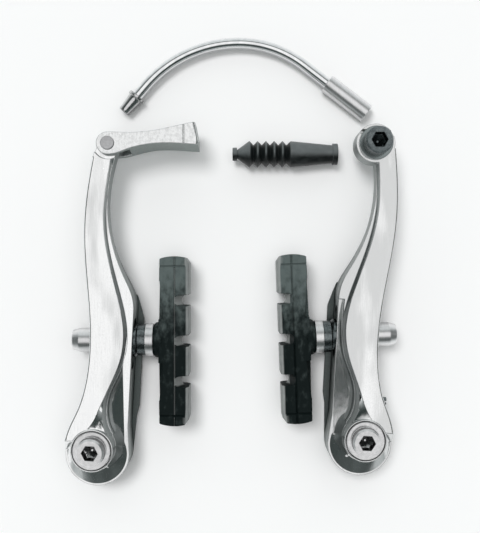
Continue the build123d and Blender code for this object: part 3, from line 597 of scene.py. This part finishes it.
def noodlePipe():
    angle = math.radians(pipe["heading"])
    forward = Vector((math.cos(angle), math.sin(angle), 0))
    place = (Vector(pipe["start"]) + forward * pipe["hidden"]) * mm
    bm = bmesh.new()
    turn = forward.to_track_quat("Z", "Y").to_matrix().to_4x4()
    made = bmesh.ops.create_circle(bm, cap_ends=True, segments=pipe["around"], radius=pipe["radius"] * mm,
                                   matrix=Matrix.Translation(place) @ turn)
    ring = list({edge for vert in made["verts"] for edge in vert.link_edges})

    def push(edges, length):
        grown = bmesh.ops.extrude_edge_only(bm, edges=edges)["geom"]
        verts = [part for part in grown if isinstance(part, bmesh.types.BMVert)]
        bmesh.ops.translate(bm, verts=verts, vec=forward * length * mm)
        return [part for part in grown
                if isinstance(part, bmesh.types.BMEdge) and all(vert in verts for vert in part.verts)]

    ring = push(ring, pipe["straight"])
    place = place + forward * pipe["straight"] * mm
    for radius, turned, steps in pipe["bends"]:
        side = Vector((forward.y, -forward.x, 0))
        middle = place + side * radius * mm
        swing = Matrix.Rotation(-math.radians(turned), 3, "Z")
        swept = bmesh.ops.spin(bm, geom=ring, cent=middle, axis=(0, 0, 1), angle=-math.radians(turned),
                               steps=steps)
        ring = [part for part in swept["geom_last"] if isinstance(part, bmesh.types.BMEdge)]
        place = middle + swing @ (place - middle)
        forward = swing @ forward
    ring = push(ring, pipe["run"])
    bmesh.ops.edgeloop_fill(bm, edges=ring)
    bmesh.ops.remove_doubles(bm, verts=bm.verts, dist=pipe["weld"] * mm)
    bmesh.ops.recalc_face_normals(bm, faces=bm.faces)
    return adopt(newPiece("noodle_pipe_bent", bm), "noodle_pipe")


noodlePipe()
print("noodle pipe bent")


# Return springs: each stays one welded piece that rides no body
for side, sign in (("left", 1), ("right", -1)):
    node = side + "_return_spring"
    bm = bmesh.new()
    bm.from_mesh(frame["nodes"][node].data)
    bmesh.ops.remove_doubles(bm, verts=bm.verts, dist=edgeForm["weld"] * mm)
    wire = adopt(newPiece(node + "_wound", bm), node, rides=False)
    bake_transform(wire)
print("return springs wound")

# Inner pieces that hardly show keep their own shape
for node in ("left_spring_sleeve", "right_spring_sleeve", "noodle_liner"):
    frame["nodes"][node].data.materials.clear()
    frame["nodes"][node].data.materials.append(finishes[slotOf[node]])

# Studio: white table, overhead softbox with a dark flag on its right and a cut corner, dim room with glows
# low down, two soft lamps. Box, flag and corner are bounded in x / z and y / z of the direction to the sky
studio = {
    "table": (0.97, 0.97, 0.97), "tableSize": 6.0, "tableRough": 0.9,
    "key": 1.35, "keyFrom": (-0.27, 0.34, 1.0), "keySoft": 22.0,
    "fill": 0.60, "fillFrom": (0.0, 0.0, 1.0), "fillSoft": 160.0,
    "box": 1.0, "boxLeft": -0.42, "boxRight": 0.80, "boxNear": -0.45, "boxFar": 0.46, "boxEdge": 0.12,
    "boxAbove": (0.0, 0.1), "lowest": 0.02,
    "flag": 1.0, "flagFrom": (0.36, 0.50), "flagNear": (-0.315, -0.285), "flagFar": (-0.195, -0.150),
    "cornerFrom": (0.20, 0.30), "cornerBelow": (-0.37, -0.34),
    "room": (0.030, 0.042, 0.040), "glow": (0.92, 0.96, 0.96), "glowBelow": (0.0, 0.8),
    "glowLeft": 0.55, "glowRight": 0.28, "sideFrom": (0.1, 0.8), "glowRound": 0.05,
    "glowFar": 0.80, "farFrom": (0.45, 0.8),
    "glowNear": 0.60, "glowNearHigh": 0.05, "nearFrom": (0.40, 0.75), "nearBelow": (0.28, 0.38),
}


def table():
    bm = bmesh.new()
    bmesh.ops.create_grid(bm, x_segments=1, y_segments=1, size=studio["tableSize"] / 2)
    piece = newPiece("table", bm)
    material, wire, shader = startMaterial("white table")
    setShader(wire, shader, {
        "Base Color": colour(*studio["table"]),
        "Roughness": studio["tableRough"],
        "Specular IOR Level": 0.0,
    })
    piece.data.materials.append(material)


def sky():
    world = bpy.data.worlds.new("studio")
    scene.world = world
    world.use_nodes = True
    tree = world.node_tree
    wire = Wire(tree)
    way = wire.node("ShaderNodeTexCoord", output="Generated")
    x = wire.node("ShaderNodeSeparateXYZ", None, {0: way}, "X")
    y = wire.node("ShaderNodeSeparateXYZ", None, {0: way}, "Y")
    z = wire.node("ShaderNodeSeparateXYZ", None, {0: way}, "Z")
    over = wire.combine("MAXIMUM", z, studio["lowest"])
    across = x / over
    along = y / over
    edge = studio["boxEdge"]
    inside = across.step(studio["boxLeft"] - edge, studio["boxLeft"] + edge)
    inside = inside * (1 - across.step(studio["boxRight"] - edge, studio["boxRight"] + edge))
    inside = inside * along.step(studio["boxNear"] - edge, studio["boxNear"] + edge)
    inside = inside * (1 - along.step(studio["boxFar"] - edge, studio["boxFar"] + edge))
    inside = inside * z.step(*studio["boxAbove"])
    flag = across.step(*studio["flagFrom"]) * along.step(*studio["flagNear"])
    flag = flag * (1 - along.step(*studio["flagFar"])) * studio["flag"]
    corner = across.step(*studio["cornerFrom"]) * (1 - along.step(*studio["cornerBelow"]))
    inside = inside * (1 - flag) * (1 - corner)
    left = (0 - x).step(*studio["sideFrom"]) * studio["glowLeft"]
    right = x.step(*studio["sideFrom"]) * studio["glowRight"]
    low = (1 - z.step(*studio["glowBelow"])) * (left + right + studio["glowRound"])
    near = (1 - z.step(*studio["nearBelow"])) * studio["glowNear"] + studio["glowNearHigh"]
    ends = y.step(*studio["farFrom"]) * studio["glowFar"] + (0 - y).step(*studio["nearFrom"]) * near
    spread = wire.combine("MAXIMUM", low, ends)
    room = spread.between(colour(*studio["room"]), colour(*studio["glow"]))
    light = inside.between(room, grey(studio["box"]))
    seen = wire.node("ShaderNodeLightPath", output="Is Camera Ray").between(light, grey(1.0))
    background = next(node for node in tree.nodes if node.type == "BACKGROUND")
    tree.links.new(seen.socket, background.inputs["Color"])
    background.inputs["Strength"].default_value = 1.0


def softLamp(name, energy, wide, way):
    lamp = bpy.data.lights.new(name, "SUN")
    lamp.energy = energy
    lamp.angle = math.radians(wide)
    piece = bpy.data.objects.new(name, lamp)
    piece.rotation_euler = Vector(way).to_track_quat("Z", "Y").to_euler()
    piece.visible_glossy = False
    scene.collection.objects.link(piece)


# Camera straight above the set, a little right of and below its middle
view = {
    "place": (2.8, -3.15, 280.0), "focalPixels": 734.0, "imageHigh": 533.0, "sensor": 24.0, "nearest": 10.0,
}


def camera():
    lens = bpy.data.cameras.new("camera")
    lens.sensor_fit = "VERTICAL"
    lens.sensor_height = view["sensor"]
    lens.lens = view["focalPixels"] / view["imageHigh"] * view["sensor"]
    lens.clip_start = view["nearest"] * mm
    piece = bpy.data.objects.new("camera", lens)
    piece.location = Vector(view["place"]) * mm
    scene.collection.objects.link(piece)
    scene.camera = piece


table()
sky()
softLamp("key", studio["key"], studio["keySoft"], studio["keyFrom"])
softLamp("fill", studio["fill"], studio["fillSoft"], studio["fillFrom"])
camera()
print("studio lit")
